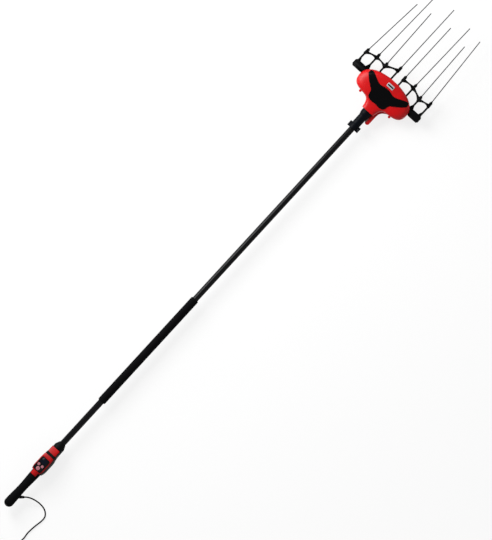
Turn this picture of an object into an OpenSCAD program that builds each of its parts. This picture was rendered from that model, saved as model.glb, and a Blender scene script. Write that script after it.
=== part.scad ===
// Electric olive harvester: a long pole with a control handle at one end and, at the other, a head
// where two rakes of carbon tines swing against each other on one axle.
// The tool lies on the floor. +Y runs along the pole towards the head, +X to its right, +Z is up.

/* [Pole] */
// Outside diameter of the pole tube
pole_d = 26; // [24:1:28]
// Wall of the pole tube
pole_wall = 1.5; // [1:0.1:2.5]
// Length of pole between the ferrule and the neck clamp
pole_shown = 1748; // [900:1:2400]
// Length of the soft grip along the pole
mid_grip_len = 568; // [200:1:800]
// Diameter of the soft grip
mid_grip_d = 35; // [31:0.5:42]
// Distance from the ferrule to the soft grip
mid_grip_from = 232; // [60:1:400]

/* [Handle] */
// Length of the rear grip
grip_len = 184; // [160:1:210]
// Diameter of the rear grip at its round end
grip_butt_d = 40; // [37:0.5:44]
// Diameter of the rear grip at its waist
grip_waist_d = 35; // [33:0.5:37]
// Diameter of the rear grip where it meets the housing
grip_front_d = 41; // [39:0.5:43]
// Length of the control housing
housing_len = 127; // [120:1:140]
// Width of the control housing
housing_w = 54; // [52:1:60]
// Height of the housing above the pole's axis
housing_top = 26; // [25:0.5:30]
// Depth of the housing below the pole's axis
housing_keel = 45.2; // [40:0.1:45.2]
// Wall of the housing shells
housing_wall = 2.5; // [2:0.1:3]
// Angle that the handle is turned on the pole
handle_turn = -14; // [-20:1:20]
// Length of the front ferrule
ferrule_len = 34; // [26:1:50]
// Diameter of the front ferrule
ferrule_d = 46; // [40:1:52]

/* [Controls] */
// Length of the control panel
panel_len = 63; // [60:1:66]
// Width of the control panel
panel_w = 42; // [40:1:44]
// Diameter of the large button
big_button_d = 17; // [14:0.5:18]
// Diameter of the two small buttons
small_button_d = 12; // [9:0.5:13]
// Travel of the buttons
button_travel = 1; // [0.6:0.1:1.2]

/* [Head] */
// Length of the head casing
casing_len = 163; // [155:1:180]
// Width of the head casing
casing_w = 258; // [240:1:280]
// Height of the casing's front lip above the pole's axis
casing_top = 56; // [54:0.5:64]
// Height of the pole's axis above the floor, and depth of the casing's flat belly
belly_d = 45; // [45:0.5:52]
// Wall of the head casing
casing_wall = 3; // [2.5:0.1:4]
// Distance from the casing's rear edge to the rake axle
axle_from_rear = 115; // [112:0.5:118]
// Length of the neck between the clamp and the casing
neck_len = 71; // [60:1:90]
// Diameter of the neck
neck_d = 37; // [35:0.5:40]
// Length of the neck clamp
collar_len = 24; // [18:1:30]

/* [Rakes] */
// Diameter of the rake hubs
hub_d = 31; // [29:0.5:33]
// Distance from the middle of the head to the outer ends of the rakes
rake_half_w = 181; // [179:1:190]
// Width of the ribs
rib_w = 8; // [6:0.5:9]
// Thickness of the ribs
rib_t = 8; // [6:0.5:9]
// Diameter of the tine sockets
socket_d = 13; // [11:0.5:15]
// Angle of the level row of tines above the pole
level_tilt = 2; // [0:0.5:5]
// Angle of the raised row of tines above the pole
raised_tilt = 33; // [28:0.5:34]
// Swing of a rake to either side
swing = 8; // [5:0.5:8]
// Diameter of a tine
tine_d = 4; // [4:0.1:6]
// Length of a tine outside its socket
tine_out = 319; // [200:1:380]

/* [Drive] */
// Diameter of the rake axle
axle_d = 12; // [10:0.5:12]
// Distance from the rake axle to the crankshaft
lever_arm = 28; // [28:0.5:30]
// Diameter of the crankshaft
crank_d = 10; // [8:0.5:10]
// Outside diameter of the rollers on the crank
roller_d = 14; // [13:0.5:15]
// Diameter of the motor
motor_d = 36; // [30:0.5:36]
// Length of the motor
motor_len = 60; // [45:1:64]

/* [Lead] */
// Diameter of the supply lead
lead_d = 6; // [5:0.5:6]

/* [Hidden] */
// Overrun of every cut
over = 1;
// Running clearance of a shaft in its bush
run_gap = 0.03;
// Clearance between pieces that are put together
fit_gap = 0.15;
// Sides of small round parts inside hulls
hull_sides = 32;
$fn = 48;

// Stations along the pole, from the round end of the rear grip
s_housing = grip_len;
s_ferrule = s_housing + housing_len;
s_pole = s_ferrule + ferrule_len;
s_collar = s_pole + pole_shown;
s_neck = s_collar + collar_len;
s_casing = s_neck + neck_len;
s_axle = s_casing + axle_from_rear;

// Rakes, from the middle outwards
rib_x = [20, 73, 122, 170];
rib_reach = [111, 99, 90, 88];
rib_lean = [0, -1, 1.5, 4];
rib_count = len(rib_x);
socket_len = 26;
tine_in = 22;
tine_r = tine_d / 2;
grommet_len = 6;
grommet_d = 8;
foot_w = 24;
foot_len = 20;
bar_t = 7;
bar_thin = 8;
bar_thick = 17;
bar_bow = 3;
bar_steps = 8;
bar_lap = 2;
hub_chamfer = 5;
block_from = 131.5;
block_d = 34;
block_h = 28;
block_round = 5;

tine_tip_s = s_axle + (rib_reach[0] + tine_out - tine_r) * cos(level_tilt) + tine_r;
mid_s = tine_tip_s / 2;

// Drive, measured along X from the middle of the head
gear_half_w = 2.5;
plate_in = 3;
plate_out = 8;
yoke_in = 8.8;
yoke_out = 15.8;
roller_in = 9.1;
roller_out = 15.3;
crank_throw = lever_arm * tan(swing);
slot_play = 1.3;
yoke_wall = 3.7;
yoke_tail = 13;
bush_wall = 2;
bush_len = 18;
bush_d = axle_d + 2 * bush_wall;
axle_half = 134;
axle_end_gap = 2;
hub_bore_to = axle_half + axle_end_gap;
bearing_d = 19;
// Teeth of the crank gear
gear_teeth = 38;
// Teeth of the motor pinion
pinion_teeth = 12;
// Tooth module of the gears
tooth_module = 1;
// Pressure angle of the teeth
pressure = 25;
// Points along each side of a tooth
flank_steps = 3;
backlash = 0.12;
tooth_top = 0.9;
tooth_root = 1.25;
gear_gap = (gear_teeth + pinion_teeth) * tooth_module / 2;
pinion_way = 235;
pinion_y = -lever_arm + gear_gap * cos(pinion_way);
pinion_z = gear_gap * sin(pinion_way);
motor_from = 26;
motor_plate_t = 4;
motor_shaft_d = 5;
motor_nose = 8;
motor_nose_d = 16;
motor_hole = 11;
motor_screw_d = 3;
motor_screw_len = 10;
motor_screw_head_d = 5.5;
motor_screw_head = 3;
frame_base_t = 4;
frame_low = belly_d - 6.5;
frame_x = [-14, 26];
frame_y = [-56, 10];
axle_boss = 12;
crank_boss = 14;
plate_foot = 6;

// Head casing: station, half width, height and depth as shares of the casing's sizes
casing_shares = [
    [0, 0.233, 0.64, 0.82], [0.09, 0.252, 0.645, 0.825], [0.15, 0.275, 0.655, 0.835],
    [0.20, 0.305, 0.67, 0.85], [0.24, 0.358, 0.69, 0.87], [0.263, 0.43, 0.70, 0.89],
    [0.277, 0.54, 0.71, 0.905], [0.288, 0.66, 0.72, 0.92], [0.305, 0.77, 0.73, 0.935], [0.335, 0.86, 0.74, 0.95],
    [0.38, 0.93, 0.76, 0.97], [0.44, 0.975, 0.785, 0.99], [0.52, 0.998, 0.815, 1], [0.60, 1, 0.85, 1],
    [0.68, 0.983, 0.885, 1], [0.75, 0.94, 0.925, 1], [0.81, 0.875, 0.95, 0.99], [0.865, 0.79, 0.97, 0.97],
    [0.915, 0.68, 0.985, 0.935], [0.955, 0.54, 0.995, 0.89], [0.985, 0.38, 1, 0.85], [1, 0.24, 1, 0.82]];
casing_cut = 2;
casing_steps = 16;
casing_round = 0.5;
mouth_gap = 1.6;
mouth_reach = 90;
hub_room = 1.8;
lug_d = 11;
lug_h = 8;
lug_screw_d = 4;
lug_head_d = 7;
lug_head = 3;
front_lug_shares = [0.62, 0.262];
rear_lug_share = 0.12;
rear_lug_in = 8.1915;
pad_d = 10;
pad_x = [-8, 20];
pad_y = [-50, -27];
ear_in = 1.057;
ear_x = casing_half(0) - ear_in;
ear_r = 10.5;
ear_len = 44;
ear_run = 28;
ear_t = 8;
ear_h = 16;
trim_t = 1.8;
// Outline of the trim's right half as shares of the casing's half width and length
trim_shares = [
    [0, 0.746], [0.12, 0.735], [0.22, 0.705], [0.30, 0.696], [0.42, 0.712], [0.55, 0.75], [0.68, 0.795],
    [0.76, 0.82], [0.81, 0.82], [0.83, 0.79], [0.80, 0.735], [0.70, 0.65], [0.587, 0.571], [0.48, 0.505],
    [0.396, 0.458], [0.365, 0.40], [0.35, 0.345], [0.315, 0.292], [0.25, 0.262],
    [0.15, 0.25], [0, 0.262]];

// Neck and its clamp
neck_flare_d = 46;
neck_flare_from = 41;
neck_flare_to = 55;
neck_flange_d = 51;
neck_flange_from = neck_len + casing_wall;
neck_flange_t = 9;
neck_sleeve_d = 31;
neck_seat = 33;
cable_way_d = pole_d - 2 * pole_wall;
collar_wall = 3.2;
collar_slit = 3;
collar_lug_x = 28;
collar_lug_h = 9;
collar_knuckle_d = 9;
collar_knuckle_x = 22;
collar_screw_d = 5;
collar_head_d = 9;
collar_head = 4;
collar_screw_x = 22.5;

// Handle pieces
bulkhead_t = 3;
housing_part = 20;
core_d = 24;
core_bore = 14;
core_from = 34;
housing_shares = [
    [0, 0.86, 0.89, 0.51], [0.063, 0.95, 0.93, 0.68], [0.126, 1, 0.97, 0.84], [0.22, 1, 1, 0.96],
    [0.35, 1, 1, 1], [0.52, 1, 1, 1], [0.614, 0.96, 1, 0.96], [0.709, 0.86, 0.95, 0.82],
    [0.82, 0.83, 0.90, 0.66], [1, 0.83, 0.88, 0.52]];
housing_steps = 16;
housing_top_round = 0.4;
housing_keel_round = 0.8;
tail_len = 18;
tail_t = 2.4;
tail_turn = 72;
saddle_len = 16;
saddle_d = 42;
pole_in_share = 0.60241;
panel_from = 7;
panel_low = 3.5;
panel_proud = 0.8;
panel_round = 7;
window_len = 24;
window_w = 26;
window_t = 1.5;
window_margin = 3;
big_button_from = 11;
small_button_from = 27;
small_button_x = 9.6;
button_proud = 1.5;
button_flange = 1.5;
button_flange_t = 2;
button_gap = 0.2;
button_hole = 0.25;
pad_len = 38;
pad_w = 32;
button_rest = 0.4;
pad_t = 4.3;
board_len = 70;
board_w = 30;
board_t = 1.6;
board_from = 6.5;
post_d = 6;
post_inset = 7;
post_x = 11;
shell_boss_d = 7;
shell_boss_x = 12;
shell_boss_from = 82;
// The pole fills a share of the room in front of the screw posts
pole_in = pole_in_share * (housing_len - shell_boss_from - shell_boss_d / 2);
shell_screw_d = 3;
shell_head_d = 5.5;
shell_head = 3;
shell_screw_low = 12;
shell_screw_up = 23;
band_from = 87;
band_len = 12;
band_t = 0.8;
ferrule_flat = 15;
ferrule_tip_d = 29;

// Supply lead: points of its free stretch, chosen by hand, across, along and above the floor
lead_r = lead_d / 2;
gland_dir = [0.74, 0.64, -0.21];
gland_from = [4.4, 52, 0];
gland_len = 38;
gland_d = 13;
gland_tip_d = 9;
gland_head = 16;
tie_t = 1.2;
tie_w = 8;
lead_points = [
    [37, 80.5, 35.7], [45, 86, 33], [57, 91.5, 27.5], [73, 96, 20], [92, 98.5, 11.5],
    [110, 98, 5.2], [126, 94, 3.4], [139, 86, 3.2], [148, 75, 3.2], [151, 62, 3.2], [150, 45, 3.2],
    [146, 22, 3.2], [143, -3, 3.2], [142, -25, 3.2], [144.5, -48, 3.3], [143, -70, 3.8], [138.6, -90, 4.2],
    [136.2, -106, 4.4], [136.1, -112, 4.4]];
coil_turns = 6;
coil_pitch = 6.7;
coil_mid_r = 33;
coil_out_r = coil_mid_r + coil_pitch * coil_turns / 4;
coil_at = [179.15, -112];
coil_low = 4.4;
coil_rings = 24;
coil_sides = 6;
coil_climb = 0.5;
coil_tail = 34;
lead_sides = 10;
plug_d = 22;
plug_len = 44;
plug_nose_d = 15;
plug_nose = 14;
plug_neck_d = 11;
plug_neck = 10;

// Cable inside the pole
inner_cable_d = 7;
inner_cable_low = 7.9;
inner_cable_from = 14;
inner_cable_to = 12;

side_names = ["left", "right"];

// Places

// Sets a piece that is drawn along the pole down on the floor
module lay() {
    translate([0, -mid_s, belly_d]) children();
}

// Turns a piece of the handle on the pole
module on_handle() {
    translate([0, s_housing, 0]) rotate([0, handle_turn, 0]) children();
}

module at_axle() {
    translate([0, s_axle, 0]) children();
}

// Stands a flat outline, drawn in Y and Z, along X
module along_x(from, to) {
    translate([from, 0, 0]) rotate([90, 0, 90]) linear_extrude(to - from) children();
}

module rod_x(d, from, to) {
    translate([from, 0, 0]) rotate([0, 90, 0]) cylinder(d = d, h = to - from);
}

// A solid turned about the pole's axis from [radius, station] points
module turned(points) {
    rotate([-90, 0, 0]) rotate_extrude() polygon(points);
}

module both_sides() {
    for (m = [0, 1]) mirror([m, 0, 0]) children();
}

// Lofts

function arch(w, h, e, steps) = [for (k = [0:steps])
    let (a = 180 * k / steps) [w * sign(cos(a)) * pow(abs(cos(a)), e), h * pow(abs(sin(a)), e)]];

// Rows moved inwards by a wall, square to the outline in plan
function inner_rows(rows, wall, floor_wall) = [for (i = [0:len(rows) - 1])
    let (a = rows[max(i - 1, 0)], b = rows[min(i + 1, len(rows) - 1)],
         run = [b[0] - a[0], b[1] - a[1]], r = norm(run), end = i == 0 || i == len(rows) - 1)
    [rows[i][0] + (end ? 0 : wall * run[1] / r), rows[i][1] - (end ? wall : wall * run[0] / r),
     rows[i][2] - floor_wall]];

function quad(a, b, c, d) = [[a, b, c], [a, c, d]];

// An arched shell between two sets of rows of [station, half width, height]
module arched(outer, inner, e, steps) {
    n = len(outer);
    m = steps + 1;
    skin = function (rows) [for (r = rows) for (p = arch(r[1], r[2], e, steps)) [p[0], r[0], p[1]]];
    o = function (i, k) i * m + k;
    q = function (i, k) n * m + i * m + k;
    faces = concat(
        [for (i = [0:n - 2]) for (k = [0:steps - 1])
            each quad(o(i, k), o(i, k + 1), o(i + 1, k + 1), o(i + 1, k))],
        [for (i = [0:n - 2]) for (k = [0:steps - 1])
            each quad(q(i, k), q(i + 1, k), q(i + 1, k + 1), q(i, k + 1))],
        [for (k = [0:steps - 1]) each quad(o(0, k), q(0, k), q(0, k + 1), o(0, k + 1))],
        [for (k = [0:steps - 1]) each quad(o(n - 1, k), o(n - 1, k + 1), q(n - 1, k + 1), q(n - 1, k))],
        [for (i = [0:n - 2]) each quad(o(i, 0), o(i + 1, 0), q(i + 1, 0), q(i, 0))],
        [for (i = [0:n - 2]) each quad(o(i, steps), q(i, steps), q(i + 1, steps), o(i + 1, steps))]);
    polyhedron(concat(skin(outer), skin(inner)), faces);
}

// The same loft filled solid
module filled(rows, e, steps) {
    n = len(rows);
    m = steps + 1;
    o = function (i, k) i * m + k;
    faces = concat(
        [for (i = [0:n - 2]) for (k = [0:steps - 1])
            each quad(o(i, k), o(i, k + 1), o(i + 1, k + 1), o(i + 1, k))],
        [for (i = [0:n - 2]) each quad(o(i, 0), o(i + 1, 0), o(i + 1, steps), o(i, steps))],
        [for (k = [1:steps - 1]) [o(0, 0), o(0, k + 1), o(0, k)]],
        [for (k = [1:steps - 1]) [o(n - 1, 0), o(n - 1, k), o(n - 1, k + 1)]]);
    polyhedron([for (r = rows) for (p = arch(r[1], r[2], e, steps)) [p[0], r[0], p[1]]], faces);
}

// A wall that closes the end of a loft at one of its rows
module end_wall(row, wall, e, steps) {
    translate([0, row[0] + max(wall, 0), 0]) rotate([90, 0, 0]) linear_extrude(abs(wall))
        polygon(arch(row[1], row[2], e, steps));
}

// Tubes along points

function unit(v) = v / norm(v);

// The direction of a path at each of its points
function headings(path) = [for (i = [0:len(path) - 1])
    unit(path[min(i + 1, len(path) - 1)] - path[max(i - 1, 0)])];

function ring(p, dir, r, sides) =
    let (side = unit(cross(dir, [0, 0, 1])), up = cross(side, dir))
    [for (k = [0:sides - 1]) p + r * (cos(360 * k / sides) * side + sin(360 * k / sides) * up)];

function grid_faces(n, m) = concat(
    [for (i = [0:n - 2]) for (k = [0:m - 1]) let (l = (k + 1) % m)
        each quad(i * m + k, i * m + l, (i + 1) * m + l, (i + 1) * m + k)],
    [for (k = [1:m - 2]) [0, k + 1, k]],
    [for (k = [1:m - 2]) let (z = (n - 1) * m) [z, z + k, z + k + 1]]);

module tube_along(path, r, sides, dirs) {
    polyhedron([for (i = [0:len(path) - 1]) each ring(path[i], dirs[i], r, sides)],
        grid_faces(len(path), sides));
}

// Gears, drawn in Y and Z with a tooth on the first axis

function polar(r, a) = [r * cos(a), r * sin(a)];
function involute(base, r) = r <= base ? 0 : sqrt(pow(r / base, 2) - 1) * 180 / PI - acos(base / r);

module gear_outline(teeth) {
    pitch_r = teeth * tooth_module / 2;
    base = pitch_r * cos(pressure);
    root = pitch_r - tooth_root * tooth_module;
    tip = pitch_r + tooth_top * tooth_module;
    start = max(base, root);
    half = 90 / teeth - backlash / pitch_r * 180 / PI / 2 + involute(base, pitch_r);
    radii = concat(root < start ? [root] : [],
        [for (k = [0:flank_steps]) start + (tip - start) * k / flank_steps]);
    polygon([for (i = [0:teeth - 1]) let (a = 360 * i / teeth) each concat(
        [for (r = radii) polar(r, a - half + involute(base, r))],
        [for (k = [len(radii) - 1:-1:0]) polar(radii[k], a + half - involute(base, radii[k]))])]);
}

// Rakes

// The raised row takes the ribs of one parity on each rake
function rib_tilt(side, i) = (i + (side == "right" ? 0 : 1)) % 2 == 0 ? raised_tilt : level_tilt;

// Turns what is drawn along +Y to a rib's tilt, at the rib
module on_rib(side, i) {
    rotate([rib_tilt(side, i), 0, 0]) translate([rib_x[i], 0, 0]) children();
}

module on_socket(side, i) {
    on_rib(side, i) translate([0, rib_reach[i] - socket_len, 0]) rotate([0, 0, rib_lean[i]])
        rotate([-90, 0, 0]) children();
}

function rib_dir(side, i) = [0, cos(rib_tilt(side, i)), sin(rib_tilt(side, i))];
function bar_end(side, i) = [rib_x[i], 0, 0] + (rib_reach[i] - socket_len / 2) * rib_dir(side, i);

// A bar between two sockets, thick at its ends and bowed back in the middle
module front_bar(side, i) {
    a = bar_end(side, i) - [bar_lap, 0, 0];
    b = bar_end(side, i + 1) + [bar_lap, 0, 0];
    ahead = unit(rib_dir(side, i) + rib_dir(side, i + 1));
    square_to = unit(cross(b - a, ahead));
    rows = [for (k = [0:bar_steps])
        let (u = 2 * k / bar_steps - 1, p = a + (b - a) * k / bar_steps,
             back = bar_thin / 2 + (bar_thick - bar_thin / 2) * u * u,
             front = bar_thin / 2 - bar_bow * (1 - u * u))
        each [p + front * ahead + bar_t / 2 * square_to, p + front * ahead - bar_t / 2 * square_to,
              p - back * ahead - bar_t / 2 * square_to, p - back * ahead + bar_t / 2 * square_to]];
    polyhedron(rows, grid_faces(bar_steps + 1, 4));
}

module rake_ribs(side) {
    for (i = [0:rib_count - 1]) {
        on_rib(side, i) translate([-rib_w / 2, bush_d / 2 + bush_wall, -rib_t / 2])
            cube([rib_w, rib_reach[i] - socket_len - bush_d / 2 - bush_wall + over, rib_t]);
        on_rib(side, i) translate([0, hub_d / 2 - bush_wall, -rib_t / 2]) linear_extrude(rib_t)
            polygon([[-(i == 0 ? rib_w : foot_w) / 2, 0], [(i == rib_count - 1 ? rib_w : foot_w) / 2, 0],
                     [rib_w / 2, foot_len], [-rib_w / 2, foot_len]]);
        on_socket(side, i) cylinder(d = socket_d, h = socket_len);
    }
    for (i = [0:rib_count - 2]) front_bar(side, i);
}

module rake_hub() {
    rod_x(hub_d, yoke_out, rake_half_w - hub_chamfer);
    translate([rake_half_w - hub_chamfer, 0, 0]) rotate([0, 90, 0])
        cylinder(d1 = hub_d, d2 = hub_d - 2 * hub_chamfer, h = hub_chamfer);
    along_x(block_from, rake_half_w - hub_chamfer) offset(r = block_round)
        square([block_d - 2 * block_round, block_h - 2 * block_round], center = true);
}

module rake_half(side) {
    color("#161618") difference() {
        union() {
            rake_hub();
            rake_ribs(side);
        }
        rod_x(bush_d, yoke_out - over, hub_bore_to);
        for (i = [0:rib_count - 1]) on_socket(side, i) translate([0, 0, socket_len - tine_in])
            cylinder(d = tine_d + fit_gap, h = tine_in + over);
    }
}

module tine_half(side, i) {
    color("#3a3a3c") on_socket(side, i) translate([0, 0, socket_len - tine_in]) {
        cylinder(d = tine_d, h = tine_in + tine_out - tine_r);
        translate([0, 0, tine_in + tine_out - tine_r]) sphere(d = tine_d);
    }
}

module grommets_half(side) {
    color("#202022") for (i = [0:rib_count - 1]) on_socket(side, i) translate([0, 0, socket_len])
        difference() {
            cylinder(d1 = grommet_d, d2 = tine_d + tine_r, h = grommet_len);
            translate([0, 0, -over]) cylinder(d = tine_d + fit_gap, h = grommet_len + 2 * over);
        }
}

module bushes_half() {
    color("#b08d57") for (x = [yoke_in, hub_bore_to - bush_len]) difference() {
        rod_x(bush_d, x, x + bush_len);
        rod_x(axle_d + 2 * run_gap, x - over, x + bush_len + over);
    }
}

module yoke_half() {
    slot_half = roller_d / 2 + slot_play;
    color("#8a8d90") difference() {
        union() {
            rod_x(hub_d, yoke_in, yoke_out);
            translate([yoke_in, -lever_arm - yoke_tail, -slot_half - yoke_wall])
                cube([yoke_out - yoke_in, lever_arm + yoke_tail, 2 * (slot_half + yoke_wall)]);
        }
        rod_x(bush_d, yoke_in - over, yoke_out + over);
        translate([yoke_in - over, -lever_arm - yoke_tail - over, -slot_half])
            cube([yoke_out - yoke_in + 2 * over, yoke_tail + over + crank_throw + roller_d / 2 + over,
                  2 * slot_half]);
    }
}

// Left pieces are drawn on the right and mirrored
module on_side(side) {
    at_axle() mirror([side == "left" ? 1 : 0, 0, 0]) children();
}

// Drive

module at_crank() {
    translate([0, s_axle - lever_arm, 0]) children();
}

module rake_axle() {
    color("#c8cacc") at_axle() rod_x(axle_d, -axle_half, axle_half);
}

module plate_outline() {
    hull() {
        circle(r = axle_boss, $fn = hull_sides);
        translate([-lever_arm, 0]) circle(r = crank_boss, $fn = hull_sides);
        translate([frame_y[0] + plate_foot, -frame_low])
            square([frame_y[1] - frame_y[0] - 2 * plate_foot, frame_base_t]);
    }
}

module gear_frame() {
    color("#9da0a3") at_axle() difference() {
        union() {
            translate([frame_x[0], frame_y[0], -frame_low])
                cube([frame_x[1] - frame_x[0], frame_y[1] - frame_y[0], frame_base_t]);
            both_sides() along_x(plate_in, plate_out) plate_outline();
            along_x(motor_from - motor_plate_t, motor_from) {
                translate([pinion_y, pinion_z]) circle(d = motor_d);
                translate([pinion_y - motor_d / 2, -frame_low]) square([motor_d, frame_low + pinion_z]);
            }
        }
        rod_x(axle_d, -plate_out - over, plate_out + over);
        translate([0, -lever_arm, 0]) rod_x(bearing_d, -plate_out - over, plate_out + over);
        translate([0, pinion_y, pinion_z]) {
            rod_x(motor_nose_d, plate_in - over, motor_from + over);
            for (y = [-motor_hole, motor_hole]) translate([0, y, 0])
                rod_x(motor_screw_d, motor_from - motor_plate_t - over, motor_from + over);
        }
    }
}

module crank_bearings() {
    color("#c4c6c8") at_crank() both_sides() difference() {
        rod_x(bearing_d, plate_in, plate_out);
        rod_x(crank_d, plate_in - over, plate_out + over);
    }
}

// The right journal points away from the axle and the left one towards it
module at_journal(side) {
    translate([0, side == "right" ? -crank_throw : crank_throw, 0]) children();
}

module crankshaft() {
    color("#b4b6b8") at_crank() {
        rod_x(crank_d, -yoke_in, yoke_in);
        at_journal("right") rod_x(crank_d, yoke_in, yoke_out);
        at_journal("left") rod_x(crank_d, -yoke_out, -yoke_in);
    }
}

module crank_rollers() {
    color("#d0d2d4") at_crank() for (side = side_names) at_journal(side)
        mirror([side == "left" ? 1 : 0, 0, 0]) difference() {
            rod_x(roller_d, roller_in, roller_out);
            rod_x(crank_d, roller_in - over, roller_out + over);
        }
}

module crank_gear() {
    color("#a8abae") at_crank() difference() {
        along_x(-gear_half_w, gear_half_w) rotate(pinion_way) gear_outline(gear_teeth);
        rod_x(crank_d, -gear_half_w - over, gear_half_w + over);
    }
}

module motor_pinion() {
    color("#a0a3a6") at_axle() translate([0, pinion_y, pinion_z]) {
        along_x(-gear_half_w, gear_half_w) rotate(pinion_way + 180 + 180 / pinion_teeth)
            gear_outline(pinion_teeth);
        rod_x(motor_shaft_d, gear_half_w, motor_from + motor_nose);
    }
}

module drive_motor() {
    color("#6f7275") at_axle() translate([0, pinion_y, pinion_z]) difference() {
        union() {
            rod_x(motor_d, motor_from, motor_from + motor_len);
            rod_x(motor_nose_d - 2 * fit_gap, motor_from - motor_plate_t, motor_from);
        }
        rod_x(motor_shaft_d + 2 * run_gap, motor_from - motor_plate_t - over,
            motor_from + motor_nose + fit_gap);
        for (y = [-motor_hole, motor_hole]) translate([0, y, 0])
            rod_x(motor_screw_d, motor_from - over, motor_from + motor_screw_len - motor_plate_t + fit_gap);
    }
}

module motor_screws() {
    color("#303234") at_axle() for (y = [-motor_hole, motor_hole]) translate([0, pinion_y + y, pinion_z]) {
        rod_x(motor_screw_d - fit_gap, motor_from - motor_plate_t,
            motor_from + motor_screw_len - motor_plate_t);
        rod_x(motor_screw_head_d, motor_from - motor_plate_t - motor_screw_head,
            motor_from - motor_plate_t);
    }
}

// Head casing

function casing_rows(height, column, grow) = [for (r = casing_shares)
    [s_casing + r[0] * casing_len, r[1] * casing_w / 2 + grow, r[column] * height + grow]];

// The way that the ribs sweep through the casing, and the room round the hubs
module mouth() {
    low = level_tilt - swing;
    high = raised_tilt + swing;
    at_axle() {
        along_x(-casing_w, casing_w) offset(r = rib_t / 2 + mouth_gap)
            polygon([[0, 0], mouth_reach * [cos(low), sin(low)],
                2 * mouth_reach * [cos((low + high) / 2), sin((low + high) / 2)],
                mouth_reach * [cos(high), sin(high)]]);
        rod_x(hub_d + 2 * hub_room, -casing_w, casing_w);
    }
}

// Half the casing's width at a share of its length
function casing_half(share) = lookup(share, [for (r = casing_shares) [r[0], r[1]]]) * casing_w / 2;

module at_lugs() {
    front = [front_lug_shares[0] * casing_w / 2, s_casing + front_lug_shares[1] * casing_len];
    rear = [casing_half(rear_lug_share) - rear_lug_in, s_casing + rear_lug_share * casing_len];
    for (p = [front, rear]) for (side = [1, -1]) translate([side * p[0], p[1], 0]) children();
}

module head_upper_casing() {
    rows = casing_rows(casing_top, 2, 0);
    color("#d8121c") difference() {
        union() {
            arched(rows, inner_rows(rows, casing_wall, casing_wall), casing_round, casing_steps);
            end_wall(rows[0], casing_wall, casing_round, casing_steps);
            end_wall(rows[len(rows) - 1], -casing_wall, casing_round, casing_steps);
            at_lugs() cylinder(d = lug_d, h = lug_h);
        }
        mouth();
        neck_hole();
        at_lugs() translate([0, 0, -over]) cylinder(d = lug_screw_d, h = lug_h - casing_wall + over);
    }
}

module neck_hole() {
    translate([0, s_casing - ear_len - over, 0]) rotate([-90, 0, 0])
        cylinder(d = neck_flare_d + 2 * fit_gap, h = ear_len + casing_wall + 2 * over);
}

module head_lower_casing() {
    rows = casing_rows(belly_d + casing_cut, 3, 0);
    color("#c20f18") difference() {
        union() {
            mirror([0, 0, 1]) {
                arched(rows, inner_rows(rows, casing_wall, casing_wall + casing_cut), casing_round,
                    casing_steps);
                end_wall(rows[0], casing_wall, casing_round, casing_steps);
                end_wall(rows[len(rows) - 1], -casing_wall, casing_round, casing_steps);
            }
            at_lugs() translate([0, 0, -lug_h]) cylinder(d = lug_d, h = lug_h);
            at_axle() for (x = pad_x) for (y = pad_y) translate([x, y, casing_wall / 2 - belly_d])
                cylinder(d = pad_d, h = belly_d - frame_low - casing_wall / 2);
            translate([ear_x - ear_r, s_casing - ear_len + ear_r, -ear_h])
                cube([2 * ear_r, ear_len - ear_r + casing_wall / 2, ear_h]);
            translate([ear_x + ear_r - ear_t, s_casing - ear_len + ear_r, -ear_h])
                cube([ear_t, ear_len - ear_r + ear_run, ear_h]);
            translate([ear_x, s_casing - ear_len + ear_r, -ear_h]) cylinder(r = ear_r, h = ear_h);
        }
        mouth();
        neck_hole();
        translate([-casing_w / 2 - over, s_casing - over, -2 * belly_d])
            cube([casing_w + 2 * over, casing_len + 2 * over, belly_d]);
        at_lugs() translate([0, 0, -lug_h - over]) cylinder(d = lug_screw_d, h = lug_h + 2 * over);
    }
}

module casing_screws() {
    color("#303234") at_lugs() {
        translate([0, 0, -lug_h])
            cylinder(d = lug_screw_d - fit_gap, h = 2 * lug_h - casing_wall - fit_gap);
        translate([0, 0, -lug_h - lug_head]) cylinder(d = lug_head_d, h = lug_head);
    }
}

module head_trim() {
    rows = casing_rows(casing_top, 2, 0);
    half = [for (p = trim_shares) [p[0] * casing_w / 2, s_casing + p[1] * casing_len]];
    color("#17171a") intersection() {
        arched(casing_rows(casing_top, 2, trim_t), rows, casing_round, casing_steps);
        translate([0, 0, over]) linear_extrude(2 * casing_top)
            polygon(concat(half, [for (i = [len(half) - 2:-1:1]) [-half[i][0], half[i][1]]]));
    }
}

// Neck, clamp and pole

module head_socket() {
    color("#14161d") difference() {
        turned([[0, s_collar], [neck_sleeve_d / 2, s_collar], [neck_sleeve_d / 2, s_neck],
            [neck_d / 2, s_neck],
            [neck_d / 2, s_neck + neck_flare_from], [neck_flare_d / 2, s_neck + neck_flare_to],
            [neck_flare_d / 2, s_neck + neck_flange_from], [neck_flange_d / 2, s_neck + neck_flange_from],
            [neck_flange_d / 2, s_neck + neck_flange_from + neck_flange_t],
            [0, s_neck + neck_flange_from + neck_flange_t]]);
        turned([[0, s_collar - over], [pole_d / 2, s_collar - over], [pole_d / 2, s_neck + neck_seat],
            [cable_way_d / 2, s_neck + neck_seat], [cable_way_d / 2, s_casing + casing_len],
            [0, s_casing + casing_len]]);
    }
}

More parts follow.
